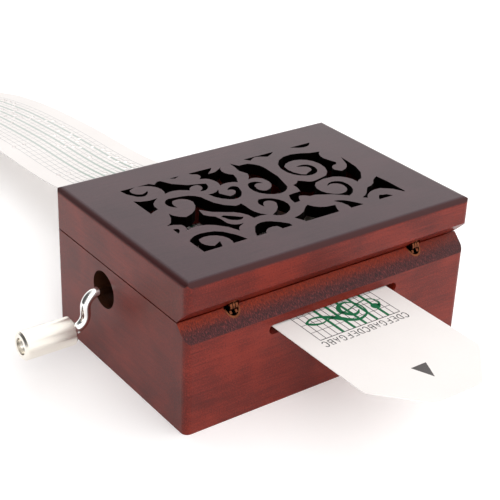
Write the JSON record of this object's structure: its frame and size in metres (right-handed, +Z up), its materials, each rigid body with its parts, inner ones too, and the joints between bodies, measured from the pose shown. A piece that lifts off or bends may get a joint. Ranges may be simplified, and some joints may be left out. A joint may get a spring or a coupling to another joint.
{
  "type": "hand-cranked music box",
  "caption": "Small wooden music box with a hinged pierced lid, a bent-wire crank with a spinning handle, and a punched card strip that runs through slots in the case.",
  "frame": {"origin": "centre of the case's underside, on the surface it stands on", "axes": "+Z up; X along the case with the crank at -X; -Y is the side with the hinges, where the strip comes out"},
  "size_m": [0.1265, 0.321, 0.0465],
  "materials": {
    "wood": "satin mahogany stain",
    "lid_top": "satin dark brown stain",
    "brass": "plain",
    "chrome": "polished",
    "nickel": "satin nickel plate",
    "zinc": "die-cast zinc, bare",
    "steel": "bright",
    "rubber": "matte",
    "card": "smooth coated card, printed"
  },
  "bodies": {
    "case": {"base_panel": "wood", "hinge_wall": "wood", "lift_wall": "wood", "crank_wall": "wood", "far_wall": "wood", "left_hinge_lower": "brass", "left_hinge_pin": "steel", "right_hinge_lower": "brass", "right_hinge_pin": "steel", "crank_bush": "brass", "movement_base": "zinc", "left_cheek": "zinc", "right_cheek": "zinc", "cheek_screws": "steel", "mounting_screws": "steel", "comb": "steel", "comb_damper": "rubber", "comb_screws": "steel", "star_shaft": "steel", "star_spacers": "brass", "pressure_springs": "steel", "spring_screws": "steel", "strip_table": "steel", "cover_plate": "steel"},
    "lid": {"lid_panel": "lid_top", "lid_hinge_rail": "wood", "lid_lift_rail": "wood", "lid_crank_rail": "wood", "lid_far_rail": "wood", "left_hinge_upper": "brass", "right_hinge_upper": "brass"},
    "crank": {"crank_wire": "chrome", "crank_rivet": "chrome", "crank_pinion": "steel"},
    "handle": {"crank_handle": "nickel"},
    "feed_roller": {"feed_shaft": "steel", "feed_sleeves": "rubber", "feed_gear": "brass"},
    "pressure_roller": {"pressure_shaft": "steel", "pressure_sleeves": "rubber"},
    "strip": {"card_strip": "card"},
    "star_wheel_01": {"star_wheel_01": "steel"},
    "star_wheel_02": {"star_wheel_02": "steel"},
    "star_wheel_03": {"star_wheel_03": "steel"},
    "star_wheel_04": {"star_wheel_04": "steel"},
    "star_wheel_05": {"star_wheel_05": "steel"},
    "star_wheel_06": {"star_wheel_06": "steel"},
    "star_wheel_07": {"star_wheel_07": "steel"},
    "star_wheel_08": {"star_wheel_08": "steel"},
    "star_wheel_09": {"star_wheel_09": "steel"},
    "star_wheel_10": {"star_wheel_10": "steel"},
    "star_wheel_11": {"star_wheel_11": "steel"},
    "star_wheel_12": {"star_wheel_12": "steel"},
    "star_wheel_13": {"star_wheel_13": "steel"},
    "star_wheel_14": {"star_wheel_14": "steel"},
    "star_wheel_15": {"star_wheel_15": "steel"}
  },
  "joints": [
    {"name": "lid_hinge", "type": "hinge", "parent": "case", "child": "lid", "pos_m": [0, -0.0303, 0.0333], "axis": [1, 0, 0], "range_deg": [0, 90]},
    {"name": "crank_turn", "type": "hinge", "parent": "case", "child": "crank", "pos_m": [-0.04, 0.0075, 0.025], "axis": [-1, 0, 0], "range_deg": [-1440, 360]},
    {"name": "handle_spin", "type": "hinge", "parent": "crank", "child": "handle", "pos_m": [-0.068, 0.0075, 0.015], "axis": [1, 0, 0], "continuous": true},
    {"name": "feed_turn", "type": "hinge", "parent": "case", "child": "feed_roller", "pos_m": [0, -0.00431, 0.0206], "axis": [1, 0, 0], "range_deg": [-576.5, 144.5]},
    {"name": "pressure_turn", "type": "hinge", "parent": "case", "child": "pressure_roller", "pos_m": [0, -0.00431, 0.0285], "axis": [1, 0, 0], "range_deg": [-216.5, 864.5]},
    {"name": "strip_feed", "type": "slide", "parent": "case", "child": "strip", "axis": [0, -1, 0], "range_m": [-0.0453, 0.01135]},
    {"name": "note_01_turn", "type": "hinge", "parent": "case", "child": "star_wheel_01", "pos_m": [-0.0152, 0.012, 0.01985], "axis": [1, 0, 0], "continuous": true},
    {"name": "note_02_turn", "type": "hinge", "parent": "case", "child": "star_wheel_02", "pos_m": [-0.0132, 0.012, 0.01985], "axis": [1, 0, 0], "continuous": true},
    {"name": "note_03_turn", "type": "hinge", "parent": "case", "child": "star_wheel_03", "pos_m": [-0.0112, 0.012, 0.01985], "axis": [1, 0, 0], "continuous": true},
    {"name": "note_04_turn", "type": "hinge", "parent": "case", "child": "star_wheel_04", "pos_m": [-0.0092, 0.012, 0.01985], "axis": [1, 0, 0], "continuous": true},
    {"name": "note_05_turn", "type": "hinge", "parent": "case", "child": "star_wheel_05", "pos_m": [-0.0072, 0.012, 0.01985], "axis": [1, 0, 0], "continuous": true},
    {"name": "note_06_turn", "type": "hinge", "parent": "case", "child": "star_wheel_06", "pos_m": [-0.0052, 0.012, 0.01985], "axis": [1, 0, 0], "continuous": true},
    {"name": "note_07_turn", "type": "hinge", "parent": "case", "child": "star_wheel_07", "pos_m": [-0.0032, 0.012, 0.01985], "axis": [1, 0, 0], "continuous": true},
    {"name": "note_08_turn", "type": "hinge", "parent": "case", "child": "star_wheel_08", "pos_m": [-0.0012, 0.012, 0.01985], "axis": [1, 0, 0], "continuous": true},
    {"name": "note_09_turn", "type": "hinge", "parent": "case", "child": "star_wheel_09", "pos_m": [0.0008, 0.012, 0.01985], "axis": [1, 0, 0], "continuous": true},
    {"name": "note_10_turn", "type": "hinge", "parent": "case", "child": "star_wheel_10", "pos_m": [0.0028, 0.012, 0.01985], "axis": [1, 0, 0], "continuous": true},
    {"name": "note_11_turn", "type": "hinge", "parent": "case", "child": "star_wheel_11", "pos_m": [0.0048, 0.012, 0.01985], "axis": [1, 0, 0], "continuous": true},
    {"name": "note_12_turn", "type": "hinge", "parent": "case", "child": "star_wheel_12", "pos_m": [0.0068, 0.012, 0.01985], "axis": [1, 0, 0], "continuous": true},
    {"name": "note_13_turn", "type": "hinge", "parent": "case", "child": "star_wheel_13", "pos_m": [0.0088, 0.012, 0.01985], "axis": [1, 0, 0], "continuous": true},
    {"name": "note_14_turn", "type": "hinge", "parent": "case", "child": "star_wheel_14", "pos_m": [0.0108, 0.012, 0.01985], "axis": [1, 0, 0], "continuous": true},
    {"name": "note_15_turn", "type": "hinge", "parent": "case", "child": "star_wheel_15", "pos_m": [0.0128, 0.012, 0.01985], "axis": [1, 0, 0], "continuous": true}
  ],
  "couplings": [
    {"joint": "feed_turn", "follows": "crank_turn", "ratio": 0.4},
    {"joint": "pressure_turn", "follows": "crank_turn", "ratio": -0.6},
    {"joint": "strip_feed", "follows": "crank_turn", "m_per_rad": 0.0018}
  ]
}
